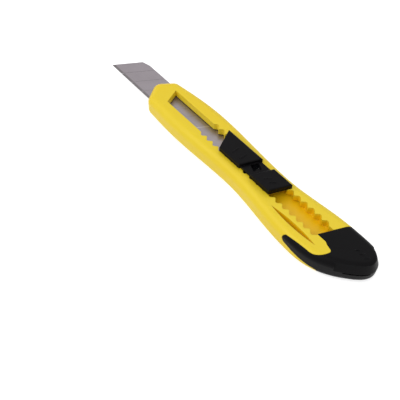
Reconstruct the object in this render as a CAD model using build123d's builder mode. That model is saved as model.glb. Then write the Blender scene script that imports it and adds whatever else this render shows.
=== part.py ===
"""Snap-off utility knife: handle, end cap, thumb slider with its lock spring, blade holder and blade.

Millimetres. +X points to the blade tip, +Y to the cutting edge, +Z up.
The origin is the middle of the handle's length on its flat underside.
"""

import os
from math import cos, radians, sin, sqrt, tan

from build123d import *

# Handle body
handle_length = 168.0
handle_height = 14.0
top_round = 4.5
bottom_round = 4.5
nose_rake = 34.0
nose_round = 5.2

# Back edge of the handle, on the spine side: half widths, and distances from the nose or the butt
nose_back = 9.7
nose_back_taper = 9.0
shoulder_back = 14.6
shoulder_back_from_nose = 44.5
waist_back = 11.5
waist_back_from_butt = 65.5
heel_back = 15.0
heel_from_butt = 21.4
corner_back = 11.8
corner_from_butt = 2.9
corner_angle = 37.0

# Front edge of the handle, on the cutting side
nose_front = 11.3
nose_front_taper = 4.0
shoulder_front = 13.2
shoulder_front_from_nose = 34.5
waist_front = 11.7
waist_front_from_butt = 90.5
belly_front = 16.6
belly_from_butt = 35.8
sweep_y = 5.4
sweep_from_butt = 7.8
sweep_angle = 41.0
butt_y = -5.9

# Blade
blade_width = 18.0
blade_edge_length = 100.0
blade_thickness = 0.5
blade_below_top = 5.0
blade_slant = 30.0
segment_length = 10.0
score_count = 6
score_width = 0.3
score_depth = 0.12
bevel_width = 1.5
edge_thickness = 0.06
spine_cut_length = 4.5
spine_cut_depth = 1.5
stud_hole_gap = 0.2
stud_hole_setback = 4.7

# Channel, slot and racks in the handle
channel_side_gap = 0.2
channel_play = 0.1
lip_overlap = 1.1
slot_from_nose = 15.2
slot_half_width = 4.8
slot_slant = 24.0
tooth_pitch = 5.0
tooth_tip_half = 4.5
tooth_depth = 1.7
tooth_tip_flat = 0.6
tooth_valley_flat = 1.0
rack_from_nose = 52.5
steps_back = 8

# Hollow under the channel
hollow_bottom = 1.8
hollow_height = 4.4
hollow_half_width = 7.5
hollow_from_nose = 28.5
hollow_inner_y = 4.6

# Lanyard slot
lanyard_length = 31.0
lanyard_from_butt = 27.25
lanyard_y = 9.4
lanyard_bulge = 1.25

# Blade holder and stud
holder_thickness = 0.45
holder_lead = 4.0
holder_flange_length = 5.0
holder_flange_gap = 0.3
holder_half_width = 5.2
stud_diameter = 3.2
stud_head_diameter = 4.6
stud_head_height = 0.5

# Thumb slider, with distances ahead of the lock spring's lugs
slider_lift = 0.35
front_pad_half = 6.3
rear_pad_half = 6.2
front_pad_height = 3.3
rear_pad_height = 3.5
pad_round = 0.7
front_pad_front = 23.0
front_pad_rear = 1.2
rear_pad_front = -7.6
rear_pad_rear = -21.4
slider_front_slant = 27.0
slider_rear_slant = 22.0
bridge_half_width = 5.5
bridge_height = 1.3
window_ahead = -2.4
window_length = 5.0
window_y = -0.6
window_width = 4.8
neck_gap = 0.35
neck_front = 20.8
neck_rear = -10.0
pocket_front = 8.5
pocket_rear = -2.9
peg_diameter = 3.0
peg_gap = 0.05
front_peg = 10.8
stud_ahead = 18.0

# Short grip ribs on the slider pads and on the cap
rib_width = 0.7
rib_height = 0.25
rib_angle = 50.0
pad_rib_y = 1.0
front_rib_length = 5.0
front_rib_ahead = 9.5
front_rib_pitch = 6.1
rear_rib_length = 4.2
rear_rib_ahead = -14.4
rear_rib_pitch = 3.5
pad_rib_count = 2
cap_rib_length = 3.2
cap_rib_from_butt = 9.0
cap_rib_y = -5.0
cap_rib_pitch = 3.0
cap_rib_count = 3

# Lock spring
spring_thickness = 0.5
spring_height = 3.2
spring_half_width = 3.3
lug_valley = 7
lug_gap = 0.3
post_diameter = 2.6

# End cap, with distances ahead of the butt
deck_level = 7.2
cap_gap = 0.15
cap_front_from_butt = 29.5
cap_front_slant = 23.0
cap_rear_from_butt = 20.5
stop_y = 3.8
stop_from_butt = 25.3
tongue_bend_from_butt = 23.6
tongue_bend_y = 4.7
tongue_tip_from_butt = 19.35
tongue_tip_y = 5.8
tongue_tip_round = 1.4
tongue_corner_from_butt = 21.8
tongue_corner_y = 13.35
tongue_corner_round = 8.0
wing_front_from_butt = 42.5
wing_radius = 2.9
wing_rise = 7.0
wing_drop = 10.5
wing_wall_y = 15.4
plug_length = 14.0
plug_root = 1.2
plug_gap = 0.2
snap_face_from_butt = 3.8
snap_face_y = -0.6
snap_face_angle = 50.0
snap_face_length = 28.0
snap_face_depth = 25.0
snap_face_inset = 2.2
snap_slot_from_butt = 5.3
snap_slot_y = 1.6
snap_slot_length = 13.6
snap_slot_depth = 8.0
snap_slot_height = 1.0
snap_slot_level = 7.0

# Places along the handle
nose_x = handle_length / 2
butt_x = -handle_length / 2
reach = handle_length
peak_x = nose_x + nose_round * (1 / cos(radians(nose_rake)) - 1)
cap_front_x = butt_x + cap_front_from_butt
cap_rear_x = butt_x + cap_rear_from_butt
tongue_tip_x = butt_x + tongue_tip_from_butt
tongue_corner_x = butt_x + tongue_corner_from_butt
wing_front_x = butt_x + wing_front_from_butt
first_tip_x = nose_x - rack_from_nose
tooth_count = int((first_tip_x - cap_front_x) / tooth_pitch) + 1
last_tip_x = first_tip_x - (tooth_count - 1) * tooth_pitch + tooth_tip_flat / 2
lug_x = first_tip_x + tooth_pitch / 2 - lug_valley * tooth_pitch
stud_x = lug_x + stud_ahead

# Blade, channel and slider levels and places
blade_half = blade_width / 2
blade_level = handle_height - blade_below_top
blade_bottom = blade_level - blade_thickness / 2
blade_top = blade_level + blade_thickness / 2
slant_run = blade_width * tan(radians(blade_slant))
blade_rear_x = stud_x - stud_hole_setback + slant_run / 2
blade_tip_x = blade_rear_x + blade_edge_length
channel_floor = blade_bottom - channel_play
channel_half = blade_half + channel_side_gap
narrow_half = tooth_tip_half + lip_overlap
valley_half = tooth_tip_half + tooth_depth
holder_top = blade_top + holder_thickness
holder_front_x = blade_rear_x + holder_lead
lip_bottom = holder_top + channel_play
travel_back = steps_back * tooth_pitch
wide_front_x = holder_front_x - holder_flange_length - travel_back - 2 * channel_side_gap
wide_back_x = blade_rear_x - slant_run - travel_back - 2 * channel_side_gap
wide_inner_x = wide_front_x - (channel_half - narrow_half) * tan(radians(blade_slant))
pad_bottom = handle_height + slider_lift
neck_half = tooth_tip_half - neck_gap
neck_rear_x = lug_x + neck_rear
pocket_front_x = lug_x + pocket_front
pocket_rear_x = lug_x + pocket_rear
front_peg_x = lug_x + front_peg
rear_peg_x = (pocket_rear_x + neck_rear_x) / 2


def heading(angle):
    """Direction at an angle from +X, in plan."""
    return (cos(radians(angle)), sin(radians(angle)))


def slanted(x, y, angle):
    """Point at y on a line that crosses the X axis at x and leans back by the angle towards +Y."""
    return (x - y * tan(radians(angle)), y)


# Plan of the handle and its cap, before the nose is cut
with BuildPart() as slab:
    with BuildSketch():
        with BuildLine():
            back = Spline(
                (peak_x, -nose_back),
                (nose_x - shoulder_back_from_nose, -shoulder_back),
                (butt_x + waist_back_from_butt, -waist_back),
                (butt_x + heel_from_butt, -heel_back),
                tangents=[heading(180 + nose_back_taper), (-1, 0), (-1, 0), (-1, 0)],
            )
            butt = Spline(
                back @ 1,
                (butt_x + corner_from_butt, -corner_back),
                (butt_x, butt_y),
                (butt_x + sweep_from_butt, sweep_y),
                (butt_x + belly_from_butt, belly_front),
                tangents=[(-1, 0), heading(180 - corner_angle), (0, 1), heading(sweep_angle), (1, 0)],
            )
            front = Spline(
                butt @ 1,
                (butt_x + waist_front_from_butt, waist_front),
                (nose_x - shoulder_front_from_nose, shoulder_front),
                (peak_x, nose_front),
                tangents=[(1, 0), (1, 0), (1, 0), heading(-nose_front_taper)],
            )
            Line(front @ 1, back @ 0)
        make_face()
    extrude(amount=handle_height)

# Outer form that the handle and the end cap share, with a blunt nose and round edges
with BuildPart() as form:
    add(slab.part)
    with BuildSketch():
        with BuildLine():
            rake_run = reach * tan(radians(nose_rake))
            Polyline(
                (peak_x, 0),
                (peak_x - rake_run, reach),
                (peak_x + reach, reach),
                (peak_x + reach, -reach),
                (peak_x - rake_run, -reach),
                close=True,
            )
        make_face()
    extrude(amount=handle_height, mode=Mode.SUBTRACT)
    upright_edges = form.edges().group_by(Axis.Z)[1]
    fillet(upright_edges.sort_by(Axis.X)[-3:], nose_round)
    fillet(form.faces().sort_by(Axis.Z)[-1].edges(), top_round)
    fillet(form.faces().sort_by(Axis.Z)[0].edges(), bottom_round)

# The slab with its wall leaning in above the snapping slit
with BuildPart() as leaning:
    add(slab.part)
    top_face = leaning.faces().sort_by(Axis.Z)[-1]
    chamfer(
        top_face.edges().filter_by(GeomType.BSPLINE),
        length=snap_face_inset,
        length2=handle_height - snap_slot_level - snap_slot_height,
        reference=top_face,
    )


def rack_edge(side):
    """Toothed edge of the slot on one side, from the front end to the rear, as points."""
    flank = (tooth_pitch - tooth_tip_flat - tooth_valley_flat) / 2
    lead_in = flank * (valley_half - slot_half_width) / tooth_depth
    first_valley_x = first_tip_x + (tooth_pitch + tooth_valley_flat) / 2
    points = [
        slanted(nose_x - slot_from_nose, side * slot_half_width, slot_slant),
        (first_valley_x + lead_in, side * slot_half_width),
    ]
    for tooth in range(tooth_count):
        tip_x = first_tip_x - tooth * tooth_pitch
        points.append((tip_x + tooth_tip_flat / 2 + flank + tooth_valley_flat, side * valley_half))
        points.append((tip_x + tooth_tip_flat / 2 + flank, side * valley_half))
        points.append((tip_x + tooth_tip_flat / 2, side * tooth_tip_half))
        points.append((tip_x - tooth_tip_flat / 2, side * tooth_tip_half))
    points.pop()
    return points


def tongue_outline(gap):
    """Plan of the yellow tongue beside the cap, grown by a gap."""
    with BuildSketch() as tongue:
        with BuildLine():
            Polyline(
                (nose_x, stop_y),
                (butt_x + stop_from_butt, stop_y),
                (butt_x + tongue_bend_from_butt, tongue_bend_y),
                (tongue_tip_x, tongue_tip_y),
                (tongue_corner_x, tongue_corner_y),
                (wing_front_x, wing_wall_y),
                (wing_front_x, reach),
                (nose_x, reach),
                close=True,
            )
        make_face()
        tip = tongue.vertices().sort_by_distance((tongue_tip_x, tongue_tip_y))[0]
        fillet(tip, tongue_tip_round)
        corner = tongue.vertices().sort_by_distance((tongue_corner_x, tongue_corner_y))[0]
        fillet(corner, tongue_corner_round)
        if gap:
            offset(amount=gap, kind=Kind.INTERSECTION)
    return tongue.sketch


def wing_space(gap):
    """Space of the cap's wing, in the cutting side of the handle."""
    center_x = wing_front_x - wing_radius
    center_z = deck_level + wing_radius
    radius = wing_radius - gap
    run = center_x - butt_x
    top_z = center_z + radius + run * tan(radians(wing_rise))
    bottom_z = center_z - radius - run * tan(radians(wing_drop))
    with BuildPart() as wing:
        with BuildSketch(Plane.XZ.offset(-stop_y)):
            with BuildLine():
                nose_arc = ThreePointArc(
                    (center_x, center_z - radius),
                    (center_x + radius, center_z),
                    (center_x, center_z + radius),
                )
                top_line = Line(nose_arc @ 1, (butt_x, top_z))
                rear_line = Line(top_line @ 1, (butt_x, bottom_z))
                Line(rear_line @ 1, nose_arc @ 0)
            make_face()
        extrude(amount=-reach)
        with BuildSketch():
            with BuildLine():
                lean = (wing_wall_y - tongue_corner_y) / (wing_front_x - tongue_corner_x)
                Polyline(
                    (wing_front_x, wing_wall_y + gap),
                    (butt_x, wing_wall_y + gap - lean * (wing_front_x - butt_x)),
                    (butt_x, reach),
                    (wing_front_x, reach),
                    close=True,
                )
            make_face()
        extrude(amount=handle_height, mode=Mode.INTERSECT)
    return wing.part


def cap_space(gap):
    """Space of the end cap inside the outer form, drawn back from the handle by a gap."""
    with BuildPart() as space:
        with BuildSketch(Plane.XY.offset(deck_level + gap)):
            with BuildLine():
                Polyline(
                    slanted(cap_front_x - gap, -reach, -cap_front_slant),
                    slanted(cap_front_x - gap, reach, -cap_front_slant),
                    (-reach * 2, reach),
                    (-reach * 2, -reach),
                    close=True,
                )
            make_face()
            add(tongue_outline(gap), mode=Mode.SUBTRACT)
        extrude(amount=handle_height)
        with BuildSketch():
            with Locations((cap_rear_x - gap, 0)):
                Rectangle(reach, 2 * reach, align=(Align.MAX, Align.CENTER))
            add(tongue_outline(gap), mode=Mode.SUBTRACT)
        extrude(amount=handle_height)
        add(wing_space(gap))
    return space.part


with BuildPart() as handle:
    add(form.part)
    # Thumb slot with a rack on either side, open at the rear past a stop on the tongue
    with BuildSketch(Plane.XY.offset(channel_floor)):
        with BuildLine():
            Polyline(
                *rack_edge(1),
                (last_tip_x, stop_y),
                (butt_x, stop_y),
                (butt_x, -tooth_tip_half),
                *reversed(rack_edge(-1)),
                close=True,
            )
        make_face()
    extrude(amount=handle_height, mode=Mode.SUBTRACT)
    # Blade channel under the lips, wide where the blade runs and narrow behind it
    with BuildSketch(Plane.XY.offset(channel_floor)):
        with BuildLine():
            Polyline(
                (nose_x, channel_half),
                (wide_front_x, channel_half),
                (wide_inner_x, narrow_half),
                (butt_x, narrow_half),
                (butt_x, -narrow_half),
                (wide_back_x, -narrow_half),
                (wide_back_x, -channel_half),
                (nose_x, -channel_half),
                close=True,
            )
        make_face()
    extrude(amount=lip_bottom - channel_floor, mode=Mode.SUBTRACT)
    # Hollow below the channel, open at the rear
    with BuildSketch(Plane.XY.offset(hollow_bottom)):
        with BuildLine():
            Polyline(
                (nose_x - hollow_from_nose, hollow_half_width),
                (wide_front_x, hollow_half_width),
                (wide_front_x, hollow_inner_y),
                (butt_x, hollow_inner_y),
                (butt_x, -hollow_half_width),
                (nose_x - hollow_from_nose, -hollow_half_width),
                close=True,
            )
        make_face()
    extrude(amount=hollow_height, mode=Mode.SUBTRACT)
    # Lanyard slot right through the tongue
    with BuildSketch():
        with BuildLine():
            lanyard_rear_x = butt_x + lanyard_from_butt
            lanyard_front_x = lanyard_rear_x + lanyard_length
            lanyard_middle_x = lanyard_rear_x + lanyard_length / 2
            ThreePointArc(
                (lanyard_front_x, lanyard_y),
                (lanyard_middle_x, lanyard_y + lanyard_bulge),
                (lanyard_rear_x, lanyard_y),
            )
            ThreePointArc(
                (lanyard_rear_x, lanyard_y),
                (lanyard_middle_x, lanyard_y - lanyard_bulge),
                (lanyard_front_x, lanyard_y),
            )
        make_face()
    extrude(amount=handle_height, mode=Mode.SUBTRACT)
    add(cap_space(0), mode=Mode.SUBTRACT)

# What the leaning snapping face takes off the butt
with BuildPart() as snap_cut:
    with BuildSketch():
        with Locations((butt_x + snap_face_from_butt, snap_face_y)):
            Rectangle(snap_face_length, snap_face_depth, rotation=snap_face_angle)
    extrude(amount=handle_height)
    add(leaning.part, mode=Mode.SUBTRACT)

with BuildPart() as end_cap:
    add(form.part)
    add(cap_space(cap_gap), mode=Mode.INTERSECT)
    add(snap_cut.part, mode=Mode.SUBTRACT)
    # Plug that holds the cap in the hollow of the handle
    with BuildSketch(Plane.XY.offset(hollow_bottom + plug_gap)):
        with Locations((cap_rear_x + plug_length, hollow_inner_y - plug_gap)):
            Rectangle(
                plug_length + plug_root,
                hollow_inner_y + hollow_half_width - 2 * plug_gap,
                align=(Align.MAX, Align.MAX),
            )
    extrude(amount=hollow_height - 2 * plug_gap)
    # Slit that grips a blade segment to snap it off
    with BuildSketch(Plane.XY.offset(snap_slot_level)):
        with Locations((butt_x + snap_slot_from_butt, snap_slot_y)):
            Rectangle(snap_slot_length, 2 * snap_slot_depth, rotation=snap_face_angle)
    extrude(amount=snap_slot_height, mode=Mode.SUBTRACT)
    with BuildSketch(Plane.XY.offset(handle_height)):
        with Locations((butt_x + cap_rib_from_butt, cap_rib_y)):
            with GridLocations(cap_rib_pitch, cap_rib_pitch, cap_rib_count, 1):
                SlotOverall(cap_rib_length, rib_width, rotation=rib_angle)
    extrude(amount=rib_height)

with BuildPart() as blade:
    # Section across the strip, drawn to a thin edge on both faces
    with BuildSketch(Plane.YZ.offset(blade_rear_x - slant_run)):
        with BuildLine():
            Polyline(
                (-blade_half, blade_bottom),
                (blade_half - bevel_width, blade_bottom),
                (blade_half, blade_level - edge_thickness / 2),
                (blade_half, blade_level + edge_thickness / 2),
                (blade_half - bevel_width, blade_top),
                (-blade_half, blade_top),
                close=True,
            )
        make_face()
    extrude(amount=blade_edge_length + slant_run)
    with BuildSketch(Plane.XY.offset(blade_bottom)):
        with BuildLine():
            spine_x = blade_tip_x - slant_run
            Polyline(
                (blade_tip_x, blade_half),
                (spine_x + spine_cut_depth * tan(radians(blade_slant)), -blade_half + spine_cut_depth),
                (spine_x - spine_cut_length, -blade_half),
                (blade_rear_x - slant_run, -blade_half),
                (blade_rear_x, blade_half),
                close=True,
            )
        make_face()
    extrude(amount=blade_thickness, mode=Mode.INTERSECT)
    # Score lines that the segments break along
    with BuildSketch(Plane.XY.offset(blade_top - score_depth)):
        for score in range(1, score_count + 1):
            score_x = blade_tip_x - score * segment_length - slant_run / 2
            with Locations((score_x, 0)):
                Rectangle(score_width, 2 * blade_width, rotation=-blade_slant)
    extrude(amount=blade_thickness, mode=Mode.SUBTRACT)
    with Locations((stud_x, 0, blade_level)):
        Hole(stud_diameter / 2 + stud_hole_gap)

with BuildPart() as blade_holder:
    with BuildSketch(Plane.XY.offset(blade_top)):
        with Locations((holder_front_x, 0)):
            Rectangle(
                holder_flange_length,
                2 * (channel_half - holder_flange_gap),
                align=(Align.MAX, Align.CENTER),
            )
            Rectangle(
                holder_front_x - neck_rear_x,
                2 * holder_half_width,
                align=(Align.MAX, Align.CENTER),
            )
        with Locations((stud_x, 0)):
            Circle(stud_diameter / 2, mode=Mode.SUBTRACT)
        with Locations((front_peg_x, 0), (rear_peg_x, 0)):
            Circle(peg_diameter / 2 + peg_gap, mode=Mode.SUBTRACT)
    extrude(amount=holder_thickness)

with BuildPart() as blade_stud:
    with BuildSketch(Plane.XY.offset(blade_bottom)):
        with Locations((stud_x, 0)):
            Circle(stud_diameter / 2)
    extrude(amount=holder_top - blade_bottom)
    with BuildSketch(Plane.XY.offset(holder_top)):
        with Locations((stud_x, 0)):
            Circle(stud_head_diameter / 2)
    extrude(amount=stud_head_height)

# The pads of the slider: front end, rear end, half width, height and slant of the front end
pads = [
    (front_pad_front, front_pad_rear, front_pad_half, front_pad_height, slider_front_slant),
    (rear_pad_front, rear_pad_rear, rear_pad_half, rear_pad_height, -slider_rear_slant),
]

with BuildPart() as thumb_slider:
    # Two pads with slanted ends
    for pad_front, pad_rear, pad_half, pad_height, front_slant in pads:
        with BuildSketch(Plane.XY.offset(pad_bottom)):
            with BuildLine():
                Polyline(
                    slanted(lug_x + pad_front, pad_half, front_slant),
                    slanted(lug_x + pad_front, -pad_half, front_slant),
                    slanted(lug_x + pad_rear, -pad_half, -slider_rear_slant),
                    slanted(lug_x + pad_rear, pad_half, -slider_rear_slant),
                    close=True,
                )
            make_face()
        extrude(amount=pad_height)
    pad_tops = thumb_slider.faces().filter_by(Axis.Z).group_by(Axis.Z)
    fillet((pad_tops[-1] + pad_tops[-2]).edges(), pad_round)
    with BuildSketch(Plane.XY.offset(pad_bottom + front_pad_height)):
        with Locations((lug_x + front_rib_ahead, pad_rib_y)):
            with GridLocations(front_rib_pitch, front_rib_pitch, pad_rib_count, 1):
                SlotOverall(front_rib_length, rib_width, rotation=90)
    extrude(amount=rib_height)
    with BuildSketch(Plane.XY.offset(pad_bottom + rear_pad_height)):
        with Locations((lug_x + rear_rib_ahead, pad_rib_y)):
            with GridLocations(rear_rib_pitch, rear_rib_pitch, pad_rib_count, 1):
                SlotOverall(rear_rib_length, rib_width, rotation=rib_angle)
    extrude(amount=rib_height)
    # Bridge that joins the pads under the thumb valley, with a window over the spring pocket
    with BuildSketch(Plane.XY.offset(pad_bottom)):
        with Locations((lug_x + (front_pad_rear + rear_pad_front) / 2, 0)):
            Rectangle(2 * (front_pad_rear - rear_pad_front), 2 * bridge_half_width)
        with Locations((lug_x + window_ahead, window_y)):
            Rectangle(window_length, window_width, rotation=-slider_rear_slant, mode=Mode.SUBTRACT)
    extrude(amount=bridge_height)
    # Neck through the slot in two blocks, with the spring pocket between them
    with BuildSketch(Plane.XY.offset(holder_top)):
        with Locations((pocket_front_x, 0)):
            Rectangle(neck_front - pocket_front, 2 * neck_half, align=(Align.MIN, Align.CENTER))
        with Locations((pocket_rear_x, 0)):
            Rectangle(pocket_rear - neck_rear, 2 * neck_half, align=(Align.MAX, Align.CENTER))
    extrude(amount=pad_bottom - holder_top)
    with BuildSketch(Plane.XY.offset(holder_top)):
        with Locations((stud_x, 0)):
            Circle(stud_head_diameter / 2 + peg_gap)
    extrude(amount=stud_head_height + peg_gap, mode=Mode.SUBTRACT)
    # Pegs that fix the slider to the holder, and the post that keeps the spring
    with BuildSketch(Plane.XY.offset(blade_top + peg_gap)):
        with Locations((front_peg_x, 0), (rear_peg_x, 0)):
            Circle(peg_diameter / 2)
    extrude(amount=holder_thickness)
    with BuildSketch(Plane.XY.offset(holder_top)):
        with Locations((pocket_front_x - spring_thickness - peg_gap - post_diameter / 2, 0)):
            Circle(post_diameter / 2)
    extrude(amount=pad_bottom - holder_top)

with BuildPart() as lock_spring:
    with BuildSketch(Plane.XY.offset(holder_top)):
        lug_y = valley_half - lug_gap - spring_thickness / sqrt(2)
        lug_run = lug_y - spring_half_width
        base_x = pocket_front_x - spring_thickness / 2
        with BuildLine():
            Polyline(
                (lug_x - lug_run, -spring_half_width),
                (lug_x, -lug_y),
                (lug_x + lug_run, -spring_half_width),
                (base_x, -spring_half_width),
                (base_x, spring_half_width),
                (lug_x + lug_run, spring_half_width),
                (lug_x, lug_y),
                (lug_x - lug_run, spring_half_width),
            )
        trace(line_width=spring_thickness)
    extrude(amount=spring_height)

os.makedirs("parts", exist_ok=True)
pieces = {
    "handle": handle,
    "end_cap": end_cap,
    "blade": blade,
    "blade_holder": blade_holder,
    "blade_stud": blade_stud,
    "thumb_slider": thumb_slider,
    "lock_spring": lock_spring,
}
for piece_name, piece in pieces.items():
    piece.part.label = piece_name
    export_step(piece.part, f"parts/{piece_name}.step")
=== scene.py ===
"""Looks of a snap-off utility knife: moulded plastics, ground steel and a white studio.

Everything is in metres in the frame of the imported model: +X to the blade tip, +Y to the cutting edge and
+Z up, with the knife lying on z = 0.
"""

import logging
import math
from dataclasses import dataclass, replace
from enum import Enum
from typing import Any, Optional, Union

import bpy
import numpy as np
from mathutils import Matrix, Vector


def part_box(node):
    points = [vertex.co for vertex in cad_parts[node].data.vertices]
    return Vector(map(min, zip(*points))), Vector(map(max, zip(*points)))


MM = 0.001
Colour = tuple[float, float, float]
Point = tuple[float, float, float]
WHITE: Colour = (1.0, 1.0, 1.0)
Number = Union[float, "Field"]

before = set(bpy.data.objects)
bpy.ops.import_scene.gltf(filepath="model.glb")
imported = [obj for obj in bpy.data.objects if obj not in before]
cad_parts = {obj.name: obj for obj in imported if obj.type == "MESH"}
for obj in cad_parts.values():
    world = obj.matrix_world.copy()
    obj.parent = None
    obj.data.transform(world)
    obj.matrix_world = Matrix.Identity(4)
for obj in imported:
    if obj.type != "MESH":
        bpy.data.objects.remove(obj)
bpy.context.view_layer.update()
log = logging.getLogger("utility_knife")

# Cosines between the rounded and the plain normal: a flat face, and the middle of an edge.
FLAT_AGREEMENT = 0.995
EDGE_AGREEMENT = 0.86

# Levels of a noise between which broad patches, scuffs and smudges set in; the scuffs break up the paler
# edges, which are part rub and part painted highlight.
PATCHY = (0.35, 0.7)
SCUFFED_HIGHLIGHT = (0.35, 0.75)
SMUDGED = (0.3, 0.75)


class Ray(Enum):
    """Kinds of ray that see the white background in place of the studio's light."""

    CAMERA = "Is Camera Ray"
    GLOSSY = "Is Glossy Ray"
    TRANSMISSION = "Is Transmission Ray"


class Field:
    """A value that varies over a surface: one output socket, with arithmetic that adds Math nodes."""

    def __init__(self, graph: "Graph", socket: bpy.types.NodeSocket) -> None:
        """Keeps the graph and the socket."""
        self.graph = graph
        self.socket = socket

    def _math(self, operation: str, *operands: Number) -> "Field":
        """Adds a Math node.

        Args:
            operation: the Math node's operation.
            operands: numbers or fields, in the order of the node's inputs.

        Returns:
            The node's result.
        """
        return self.graph.node("ShaderNodeMath", {"operation": operation}, dict(enumerate(operands)))

    def __add__(self, other: Number) -> "Field":
        """Sum."""
        return self._math("ADD", self, other)

    __radd__ = __add__

    def __mul__(self, other: Number) -> "Field":
        """Product."""
        return self._math("MULTIPLY", self, other)

    __rmul__ = __mul__

    def __sub__(self, other: Number) -> "Field":
        """Difference."""
        return self._math("SUBTRACT", self, other)

    def __rsub__(self, other: Number) -> "Field":
        """Difference the other way round."""
        return self._math("SUBTRACT", other, self)

    def __abs__(self) -> "Field":
        """Size without sign."""
        return self._math("ABSOLUTE", self)

    def wrapped(self, period: float) -> "Field":
        """Signed distance to the nearest multiple of a period."""
        return self._math("WRAP", self, period / 2, -period / 2)

    def at_least(self, other: Number) -> "Field":
        """Greater of two values."""
        return self._math("MAXIMUM", self, other)

    def ramp(self, low: float, high: float) -> "Field":
        """Smooth step.

        Args:
            low: value that gives 0.
            high: value that gives 1, which may lie below low.

        Returns:
            The smooth step between the two.
        """
        settings = {"interpolation_type": "SMOOTHSTEP", "clamp": True}
        rising = low <= high
        ends = {1: min(low, high), 2: max(low, high), 3: float(not rising), 4: float(rising)}
        return self.graph.node("ShaderNodeMapRange", settings, {0: self, **ends})


class Graph:
    """A node tree that finishes are written into."""

    def __init__(self, tree: bpy.types.NodeTree) -> None:
        """Empties the tree and keeps it."""
        self.tree = tree
        tree.nodes.clear()

    def node(
        self,
        kind: str,
        settings: Optional[dict[str, Any]] = None,
        inputs: Optional[dict[Union[int, str], Any]] = None,
        out: Union[int, str] = 0,
    ) -> Field:
        """Adds one node.

        Args:
            kind: the node's type.
            settings: properties of the node, set before its sockets.
            inputs: values or fields for its sockets, by name or place.
            out: the output that is wanted, by name or place.

        Returns:
            That output.
        """
        node = self.tree.nodes.new(kind)
        for key, value in (settings or {}).items():
            setattr(node, key, value)
        for key, value in (inputs or {}).items():
            if isinstance(value, Field):
                self.tree.links.new(value.socket, node.inputs[key])
            else:
                node.inputs[key].default_value = value
        return Field(self, node.outputs[out])

    def place(self) -> Field:
        """Object coordinates, in metres."""
        return self.node("ShaderNodeTexCoord", out="Object")

    def axis(self, name: str) -> Field:
        """One coordinate of the place, in metres."""
        return self.node("ShaderNodeSeparateXYZ", None, {0: self.place()}, out=name)

    def noise(self, scale: float, detail: float = 2.0, stretch: Point = (1.0, 1.0, 1.0)) -> Field:
        """Noise between 0 and 1.

        Args:
            scale: features per metre.
            detail: octaves.
            stretch: factor on each coordinate, small along a drawn-out direction.

        Returns:
            The noise.
        """
        place = {"Vector": self.place(), "Scale": stretch}
        vector = self.node("ShaderNodeMapping", {"vector_type": "POINT"}, place)
        inputs = {"Vector": vector, "Scale": scale, "Detail": detail}
        return self.node("ShaderNodeTexNoise", {"noise_dimensions": "3D"}, inputs)

    def mix(self, factor: Number, low: Union[Colour, Field], high: Union[Colour, Field]) -> Field:
        """Colour between two colours, each plain or a field."""
        settings = {"data_type": "RGBA", "blend_type": "MIX"}
        return self.node("ShaderNodeMix", settings, {0: factor, 6: paint(low), 7: paint(high)}, out=2)

    def edge(self, radius: float, samples: int = 6) -> tuple[Field, Field]:
        """Rounded edges.

        Args:
            radius: radius of the rounding in metres.
            samples: rays that look for the edge.

        Returns:
            The rounded normal, and a mask that is 1 on edges.
        """
        normal = self.node("ShaderNodeBevel", {"samples": samples}, {"Radius": radius})
        facing = {0: normal, 1: self.node("ShaderNodeNewGeometry", out="Normal")}
        agreement = self.node("ShaderNodeVectorMath", {"operation": "DOT_PRODUCT"}, facing, out="Value")
        return normal, agreement.ramp(FLAT_AGREEMENT, EDGE_AGREEMENT)

    def bump(
        self, height: Field, distance: float, normal: Optional[Field] = None, strength: float = 1.0
    ) -> Field:
        """Bumped normal.

        Args:
            height: field between 0 and 1.
            distance: height in metres where the field is 1.
            normal: normal to start from.
            strength: share of the bump that shows.

        Returns:
            The normal.
        """
        inputs = {"Height": height, "Distance": distance, "Strength": strength}
        if normal is not None:
            inputs["Normal"] = normal
        return self.node("ShaderNodeBump", None, inputs)

    def surface(self, **sockets: Any) -> None:
        """Writes the Principled shader and the output; a socket's words are joined by underscores."""
        inputs = {key.replace("_", " "): value for key, value in sockets.items()}
        self.output(self.node("ShaderNodeBsdfPrincipled", None, inputs))

    def output(self, shader: Field, kind: str = "ShaderNodeOutputMaterial") -> None:
        """Links a shader to the tree's output."""
        output = self.tree.nodes.new(kind)
        self.tree.links.new(shader.socket, output.inputs["Surface"])


def paint(colour: Union[Colour, Field]) -> Union[tuple[float, ...], Field]:
    """Colour with its alpha, where it is a plain colour."""
    return colour if isinstance(colour, Field) else (*colour, 1.0)


def new_material(name: str) -> tuple[bpy.types.Material, Graph]:
    """Empty node material.

    Args:
        name: the material's name.

    Returns:
        The material and its graph.
    """
    material = bpy.data.materials.new(name)
    material.use_nodes = True
    return material, Graph(material.node_tree)


@dataclass(frozen=True)
class PaintedRecessLight:
    """A recess in a moulding, whose walls get a painted colour: painted light for the light that bounces and
    glows between them.

    Attributes:
        low: lowest corner of its box.
        high: highest corner of its box.
        colour: painted colour of its walls, standing in for light that bounces between them.
        soft: depth over which the colour sets in, from the mouth down.
        margin: distance over which it fades at the other sides.
    """

    low: Point
    high: Point
    colour: Colour
    soft: float = 2.5 * MM
    margin: float = 0.2 * MM

    def depth(self, graph: Graph) -> Field:
        """Mask that is 0 outside the box and rises to 1 below its mouth.

        Args:
            graph: graph of the moulding's material.

        Returns:
            The mask.
        """
        mask = graph.axis("Z").ramp(self.high[2], self.high[2] - self.soft)
        for name, low, high in zip("XYZ", self.low, self.high):
            half = (high - low) / 2
            away = abs(graph.axis(name) - (low + high) / 2)
            mask = mask * away.ramp(half + self.margin, half)
        return mask


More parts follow.
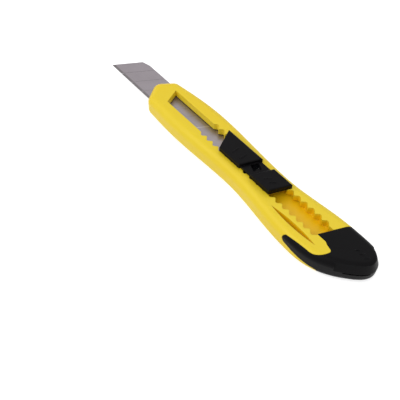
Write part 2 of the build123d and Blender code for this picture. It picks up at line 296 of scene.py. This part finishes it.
@dataclass(frozen=True)
class MouldedPlastic:
    """Satin moulded plastic with a fine eroded grain, faint flow mottling, paler edges that are part rub and
    part painted highlight, and painted light in its recesses.

    Attributes:
        name: the material's name.
        colour: colour of the plastic.
        mottle: colour it drifts to in broad patches.
        rubbed_highlight: paler colour of edges, part rubbed wear and part painted highlight.
        rub_highlight: share of that paler colour on an edge.
        roughness: mean roughness.
        specular: specular level.
        edge_radius: rounding of its moulded edges.
        grain: grains per metre.
        grain_depth: depth of the grain.
        painted_recess_lights: recesses whose walls get painted light.
        mottle_scale: patches of mottling per metre.
        flow: stretch of the mottling, drawn out along the moulding.
        scuff_highlight_scale: scuffs per metre along the edges, which break up their paler colour.
        grain_gloss: spread of the roughness over the grain.
        mottle_gloss: spread of the roughness over the mottling.
    """

    name: str
    colour: Colour
    mottle: Colour
    rubbed_highlight: Colour
    rub_highlight: float
    roughness: float
    specular: float
    edge_radius: float
    grain: float
    grain_depth: float
    painted_recess_lights: tuple[PaintedRecessLight, ...] = ()
    mottle_scale: float = 38.0
    flow: Point = (0.5, 1.0, 1.0)
    scuff_highlight_scale: float = 420.0
    grain_gloss: float = 0.12
    mottle_gloss: float = 0.05

    def material(self) -> bpy.types.Material:
        """Writes the finish as nodes.

        Returns:
            The finished material.
        """
        material, graph = new_material(self.name)
        broad = graph.noise(self.mottle_scale, 3.0, self.flow).ramp(*PATCHY)
        normal, edge = graph.edge(self.edge_radius)
        scuff_highlight = graph.noise(self.scuff_highlight_scale, 4.0).ramp(*SCUFFED_HIGHLIGHT)
        colour = graph.mix(broad, self.colour, self.mottle)
        # Painted light: recess walls take a deeper or brighter colour for light bouncing and glowing inside
        # them.
        for recess_light in self.painted_recess_lights:
            colour = graph.mix(recess_light.depth(graph), colour, recess_light.colour)
        # Paler edges: partly rubbed wear, partly a painted highlight along the rounded edges.
        colour = graph.mix(edge * scuff_highlight * self.rub_highlight, colour, self.rubbed_highlight)
        grain = graph.noise(self.grain)
        gloss = (grain - 0.5) * self.grain_gloss + (broad - 0.5) * self.mottle_gloss
        graph.surface(
            Base_Color=colour,
            Roughness=self.roughness + gloss,
            Specular_IOR_Level=self.specular,
            Normal=graph.bump(grain, self.grain_depth, normal),
        )
        return material


@dataclass(frozen=True)
class BladeSteel:
    """Cold-rolled blade steel with drawn lines along its length, a ground bevel darkened as painted shade,
    and scored break lines painted bright as highlights.

    Attributes:
        name: the material's name.
        colour: colour of the rolled face.
        bevel_shade_colour: colour of the ground bevel, darkened as a painted shade of its tilted face.
        score_highlight_colour: bright colour of a score line, a painted highlight for the lit wall of its
            groove.
        roughness: roughness of the face.
        half_width: distance of the edge from the blade's middle line.
        bevel_width: width of the bevel.
        tip_x: place of the tip.
        middle_z: level halfway through the blade, below the scored face.
        pitch: distance between score lines.
        count: number of score lines.
        slant: angle of the score lines from square, in degrees.
        score_width: width of a score line.
        drawn_scale: rolling lines per metre, before they are drawn out.
        drawn: stretch of the rolling lines, which run along the blade.
        ground_scale: grinding lines per metre, before they are drawn out.
        ground: stretch of the grinding lines, which run across the bevel.
        smudge_scale: smudges per metre.
        shade: brightness of the darkest smudge against the face.
        grind_soft: half the distance over which the bevel sets in.
        relief: depth of the rolling and grinding lines.
        grain_gloss: spread of the roughness over those lines.
        smudge_gloss: roughness that a smudge adds.
    """

    name: str
    colour: Colour
    bevel_shade_colour: Colour
    score_highlight_colour: Colour
    roughness: float
    half_width: float
    bevel_width: float
    tip_x: float
    middle_z: float
    pitch: float
    count: int
    slant: float
    score_width: float
    drawn_scale: float = 300.0
    drawn: Point = (0.06, 9.0, 9.0)
    ground_scale: float = 900.0
    ground: Point = (3.0, 0.12, 0.12)
    smudge_scale: float = 90.0
    shade: float = 0.86
    grind_soft: float = 0.1 * MM
    relief: float = 0.004 * MM
    grain_gloss: float = 0.16
    smudge_gloss: float = 0.06

    def material(self) -> bpy.types.Material:
        """Writes the finish as nodes.

        Returns:
            The finished material.
        """
        material, graph = new_material(self.name)
        drawn = graph.noise(self.drawn_scale, 3.0, self.drawn)
        ground = graph.noise(self.ground_scale, 2.0, self.ground)
        smudge = graph.noise(self.smudge_scale, 3.0).ramp(*SMUDGED)
        grind = self.half_width - self.bevel_width
        bevel = graph.axis("Y").ramp(grind - self.grind_soft, grind + self.grind_soft)
        shaded = tuple(self.shade * channel for channel in self.colour)
        face = graph.mix(drawn * 0.5 + smudge * 0.5, self.colour, shaded)
        # The ground bevel is painted darker: a painted shade for its tilted face.
        colour = graph.mix(bevel, face, self.bevel_shade_colour)
        # Score lines painted bright: a painted highlight for the lit groove walls.
        colour = graph.mix(self.score(graph), colour, self.score_highlight_colour)
        grain = drawn * (1.0 - bevel) + ground * bevel
        gloss = (grain - 0.5) * self.grain_gloss + smudge * self.smudge_gloss
        graph.surface(
            Base_Color=colour,
            Metallic=1.0,
            Roughness=self.roughness + gloss,
            Normal=graph.bump(grain, self.relief, strength=0.6),
        )
        return material

    def score(self, graph: Graph) -> Field:
        """Mask of the score lines on the upper face.

        A point's distance behind the tip is measured at the edge, along the slant of the lines, and wrapped
        to the pitch. The mask is 1 where that is within half a line's width, from the first line to the last.

        Args:
            graph: graph of the blade's material.

        Returns:
            The mask.
        """
        lean = math.tan(math.radians(self.slant))
        behind = self.tip_x - graph.axis("X") + (graph.axis("Y") - self.half_width) * lean
        lines = abs(behind.wrapped(self.pitch)).ramp(0.6 * self.score_width, 0.4 * self.score_width)
        first, last = 0.5 * self.pitch, (self.count + 0.5) * self.pitch
        scored = behind.ramp(first, first + MM) * behind.ramp(last, last - MM)
        return lines * scored * graph.axis("Z").ramp(self.middle_z, self.middle_z + 0.05 * MM)


@dataclass(frozen=True)
class StampedSteel:
    """Stamped or rolled steel of a small inner piece, with a faint drawn grain.

    Attributes:
        name: the material's name.
        colour: colour of the steel.
        tarnish: colour of its darker patches.
        roughness: mean roughness.
        bright: colour of its bare edges.
        bared: share of the bare colour on an edge.
        drawn_scale: rolling lines per metre, before they are drawn out.
        drawn: stretch of the rolling lines, which run along the knife.
        patch_scale: darker patches per metre.
        edge_radius: rounding of its edges.
        relief: depth of the rolling lines.
        grain_gloss: spread of the roughness over those lines.
    """

    name: str
    colour: Colour
    tarnish: Colour
    roughness: float
    bright: Colour = (0.7, 0.7, 0.7)
    bared: float = 0.4
    drawn_scale: float = 700.0
    drawn: Point = (0.1, 4.0, 4.0)
    patch_scale: float = 160.0
    edge_radius: float = 0.12 * MM
    relief: float = 0.006 * MM
    grain_gloss: float = 0.2

    def material(self) -> bpy.types.Material:
        """Writes the finish as nodes.

        Returns:
            The finished material.
        """
        material, graph = new_material(self.name)
        drawn = graph.noise(self.drawn_scale, 3.0, self.drawn)
        patch = graph.noise(self.patch_scale, 4.0).ramp(*PATCHY)
        normal, edge = graph.edge(self.edge_radius, 4)
        colour = graph.mix(patch, self.colour, self.tarnish)
        graph.surface(
            Base_Color=graph.mix(edge * self.bared, colour, self.bright),
            Metallic=1.0,
            Roughness=self.roughness + (drawn - 0.5) * self.grain_gloss,
            Normal=graph.bump(drawn, self.relief, normal, 0.7),
        )
        return material


YELLOW = MouldedPlastic(
    name="yellow_plastic",
    colour=(0.86, 0.645, 0.022),
    mottle=(0.87, 0.625, 0.018),
    # Paler edge colour: part rub, part painted highlight.
    rubbed_highlight=(0.9, 0.75, 0.15),
    rub_highlight=0.35,
    roughness=0.42,
    specular=0.33,
    edge_radius=0.35 * MM,
    grain=2600.0,
    grain_depth=0.006 * MM,
)
BLACK = MouldedPlastic(
    name="black_plastic",
    colour=(0.0035, 0.0032, 0.0037),
    mottle=(0.0048, 0.0044, 0.005),
    # Edge colour lighter than the black: part rub, part painted highlight on the edges.
    rubbed_highlight=(0.06, 0.058, 0.062),
    rub_highlight=0.6,
    roughness=0.42,
    specular=0.07,
    edge_radius=0.25 * MM,
    grain=2200.0,
    grain_depth=0.01 * MM,
)
# Plate and spring are coloured near black: a painted shade for the pit between the slider's pads, where they
# show.
PLATE_PAINTED_SHADE = StampedSteel("plate_steel", (0.09, 0.09, 0.1), (0.06, 0.06, 0.065), 0.4)
SPRING_PAINTED_SHADE = StampedSteel("spring_steel", (0.08, 0.08, 0.09), (0.05, 0.05, 0.055), 0.35)


def dress(node: str, material: bpy.types.Material) -> None:
    """Gives a CAD node its material.

    Args:
        node: the node's name.
        material: the finish for all of it.
    """
    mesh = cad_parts[node].data
    mesh.materials.clear()
    mesh.materials.append(material)
    log.info("dressed %s in %s", node, material.name)


@dataclass
class Handle:
    """The yellow handle.

    Attributes:
        thumb_slot_light: painted bounce light, a deeper orange, on the walls of the rear of the thumb slot,
            between the racks.
        front_slot_light: painted light, a paler yellow, on the walls of the plain front of the thumb slot.
        lanyard_slot_light: painted light, a brighter orange, on the walls of the pointed slot beside the cap.
    """

    # Painted light on the walls of the slots, for light that bounces and glows inside them.
    thumb_slot_light: PaintedRecessLight = PaintedRecessLight(
        low=(-63.0 * MM, -6.3 * MM, 1.0 * MM),
        high=(12.0 * MM, 6.3 * MM, 13.9 * MM),
        colour=(0.87, 0.55, 0.002),
    )
    front_slot_light: PaintedRecessLight = PaintedRecessLight(
        low=(13.0 * MM, -6.3 * MM, 9.0 * MM),
        high=(72.0 * MM, 6.3 * MM, 13.9 * MM),
        colour=(0.96, 0.74, 0.03),
        soft=0.6 * MM,
    )
    lanyard_slot_light: PaintedRecessLight = PaintedRecessLight(
        low=(-57.5 * MM, 8.1 * MM, 0.5 * MM),
        high=(-25.0 * MM, 10.7 * MM, 13.9 * MM),
        colour=(0.98, 0.66, 0.001),
        soft=0.6 * MM,
    )

    def plastic(self) -> MouldedPlastic:
        """The handle's finish, with painted light on the walls of its slots."""
        return replace(YELLOW, painted_recess_lights=(self.thumb_slot_light, self.front_slot_light, self.lanyard_slot_light))

    def build(self) -> None:
        """Dresses the handle."""
        dress("handle", self.plastic().material())


@dataclass
class EndCap:
    """The black end cap.

    Attributes:
        plastic: material of the cap.
    """

    plastic: bpy.types.Material

    def build(self) -> None:
        """Dresses the cap."""
        dress("end_cap", self.plastic)


@dataclass
class Carriage:
    """The thumb slider, the blade and the steel pieces between them.

    Attributes:
        plastic: material of the slider.
        bevel_width: width of the blade's ground bevel.
        score_pitch: distance between the blade's score lines.
        score_count: number of score lines.
        score_slant: angle of the score lines from square, in degrees.
        score_width: width of a score line.
    """

    plastic: bpy.types.Material
    bevel_width: float = 1.5 * MM
    score_pitch: float = 10.0 * MM
    score_count: int = 7
    score_slant: float = 30.0
    score_width: float = 0.3 * MM

    def blade_steel(self) -> BladeSteel:
        """Places the blade's finish by the blade's own box.

        Returns:
            The finish.
        """
        low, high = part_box("blade")
        return BladeSteel(
            name="blade_steel",
            colour=(0.315, 0.284, 0.305),
            # Painted shade: the bevel is darker for its slope.
            bevel_shade_colour=(0.19, 0.175, 0.18),
            # Painted highlight of the score lines.
            score_highlight_colour=(0.56, 0.54, 0.56),
            roughness=0.36,
            half_width=high.y,
            bevel_width=self.bevel_width,
            tip_x=high.x,
            middle_z=(low.z + high.z) / 2,
            pitch=self.score_pitch,
            count=self.score_count,
            slant=self.score_slant,
            score_width=self.score_width,
        )

    def build(self) -> None:
        """Dresses every piece of the carriage."""
        dress("thumb_slider", self.plastic)
        dress("blade", self.blade_steel().material())
        plate = PLATE_PAINTED_SHADE.material()
        dress("blade_holder", plate)
        dress("blade_stud", plate)
        dress("lock_spring", SPRING_PAINTED_SHADE.material())


@dataclass
class Viewpoint:
    """The camera at the photograph's viewing angle.

    Attributes:
        position: place of the lens.
        azimuth: direction it looks from, in degrees, 0 along +Y.
        elevation: height of its look, in degrees.
        roll: turn about the look, in degrees.
        focal_pixels: focal length in pixels of a square image.
        image_pixels: side of that image.
        sensor: width of the film, in millimetres.
        nearest: distance from which it sees.
    """

    position: Point = (-140.15 * MM, 160.24 * MM, 263.98 * MM)
    azimuth: float = -131.68
    elevation: float = 53.19
    roll: float = 2.47
    focal_pixels: float = 607.7
    image_pixels: float = 400.0
    sensor: float = 36.0
    nearest: float = 10.0 * MM

    def build(self) -> None:
        """Adds the camera and makes it the scene's own."""
        around, above, roll = (math.radians(angle) for angle in (self.azimuth, self.elevation, self.roll))
        level = math.cos(above)
        back = Vector((math.sin(around) * level, -math.cos(around) * level, math.sin(above)))
        side = Vector((0, 0, 1)).cross(back).normalized()
        top = back.cross(side)
        right = math.cos(roll) * side + math.sin(roll) * top
        up = math.cos(roll) * top - math.sin(roll) * side
        data = bpy.data.cameras.new("camera")
        data.sensor_width = self.sensor
        data.lens = self.sensor * self.focal_pixels / self.image_pixels
        data.clip_start = self.nearest
        camera = bpy.data.objects.new("camera", data)
        bpy.context.scene.collection.objects.link(camera)
        turn = Matrix((right, up, back)).transposed().to_4x4()
        camera.matrix_world = Matrix.Translation(self.position) @ turn
        bpy.context.scene.camera = camera


@dataclass(frozen=True)
class SoftBox:
    """One square lamp.

    Attributes:
        name: the lamp's name.
        place: where it hangs.
        side: length of its side.
        watts: its power.
    """

    name: str
    place: Point
    side: float
    watts: float

    def build(self) -> None:
        """Hangs the lamp, facing the knife."""
        data = bpy.data.lights.new(self.name, "AREA")
        data.shape = "SQUARE"
        data.size = self.side
        data.energy = self.watts
        lamp = bpy.data.objects.new(self.name, data)
        bpy.context.scene.collection.objects.link(lamp)
        lamp.location = self.place
        lamp.rotation_euler = Vector(self.place).to_track_quat("Z", "Y").to_euler()


@dataclass
class Studio:
    """White floor, white surround and soft lamps.

    Attributes:
        floor_side: length of the floor's side.
        floor_drop: gap between the knife and the floor.
        floor_colour: colour of the floor.
        floor_lines: lines of the floor's grid each way.
        floor_lift: white that the floor adds for rays that see the background.
        sky: strength of the surround as a light.
        lamps: soft lamps round the knife.
    """

    floor_side: float = 8.0
    floor_drop: float = 0.05 * MM
    floor_colour: Colour = (0.8, 0.8, 0.8)
    floor_lines: int = 5
    floor_lift: float = 0.62
    sky: float = 0.55
    lamps: tuple[SoftBox, ...] = (
        SoftBox("key_lamp", (0.25, -0.6, 1.1), 0.8, 1.5),
        SoftBox("fill_lamp", (0.3, 0.85, 1.15), 1.4, 10.0),
    )

    @staticmethod
    def background(graph: Graph) -> Field:
        """Tells rays that see the background from rays that carry light.

        Args:
            graph: graph of the floor or the surround.

        Returns:
            1 for rays that see the background, 0 for the others.
        """
        seen: Optional[Field] = None
        for ray in Ray:
            field = graph.node("ShaderNodeLightPath", out=ray.value)
            seen = field if seen is None else seen.at_least(field)
        return seen

    def floor(self) -> None:
        """Adds the floor, diffuse with a lift of white.

        Its points are a flat grid: x and y run from minus half to half the side, and z is minus the drop.
        """
        count = self.floor_lines
        line = np.linspace(-0.5, 0.5, count) * self.floor_side
        x, y = np.meshgrid(line, line, indexing="ij")
        points = np.stack([x, y, np.full_like(x, -self.floor_drop)], -1).reshape(-1, 3)
        corner = (np.arange(count - 1)[:, None] * count + np.arange(count - 1)).reshape(-1)
        faces = np.stack([corner, corner + count, corner + count + 1, corner + 1], -1)
        mesh = bpy.data.meshes.new("floor")
        mesh.from_pydata(points.tolist(), [], faces.tolist())
        floor = bpy.data.objects.new("floor", mesh)
        bpy.context.scene.collection.objects.link(floor)
        material, graph = new_material("floor_white")
        diffuse = graph.node("ShaderNodeBsdfDiffuse", None, {"Color": paint(self.floor_colour)})
        lift = self.background(graph) * self.floor_lift
        glow = graph.node("ShaderNodeEmission", None, {"Color": paint(WHITE), "Strength": lift})
        graph.output(graph.node("ShaderNodeAddShader", None, {0: diffuse, 1: glow}))
        mesh.materials.append(material)

    def surround(self) -> None:
        """World: white to rays that see the background, and softer as a light."""
        world = bpy.data.worlds.new("studio")
        world.use_nodes = True
        graph = Graph(world.node_tree)
        strength = self.sky + self.background(graph) * (1.0 - self.sky)
        glow = graph.node("ShaderNodeBackground", None, {"Color": paint(WHITE), "Strength": strength})
        graph.output(glow, "ShaderNodeOutputWorld")
        bpy.context.scene.world = world

    def build(self) -> None:
        """Adds the floor, the surround and the lamps."""
        bpy.context.scene.view_settings.view_transform = "Standard"
        self.floor()
        self.surround()
        for lamp in self.lamps:
            lamp.build()


def main() -> None:
    """Builds the knife's looks and the studio, in order."""
    logging.basicConfig(level=logging.INFO, format="%(name)s: %(message)s")
    black = BLACK.material()
    for assembly in (Handle(), EndCap(black), Carriage(black), Studio(), Viewpoint()):
        assembly.build()
        log.info("built %s", type(assembly).__name__)


if __name__ == "__main__":
    main()
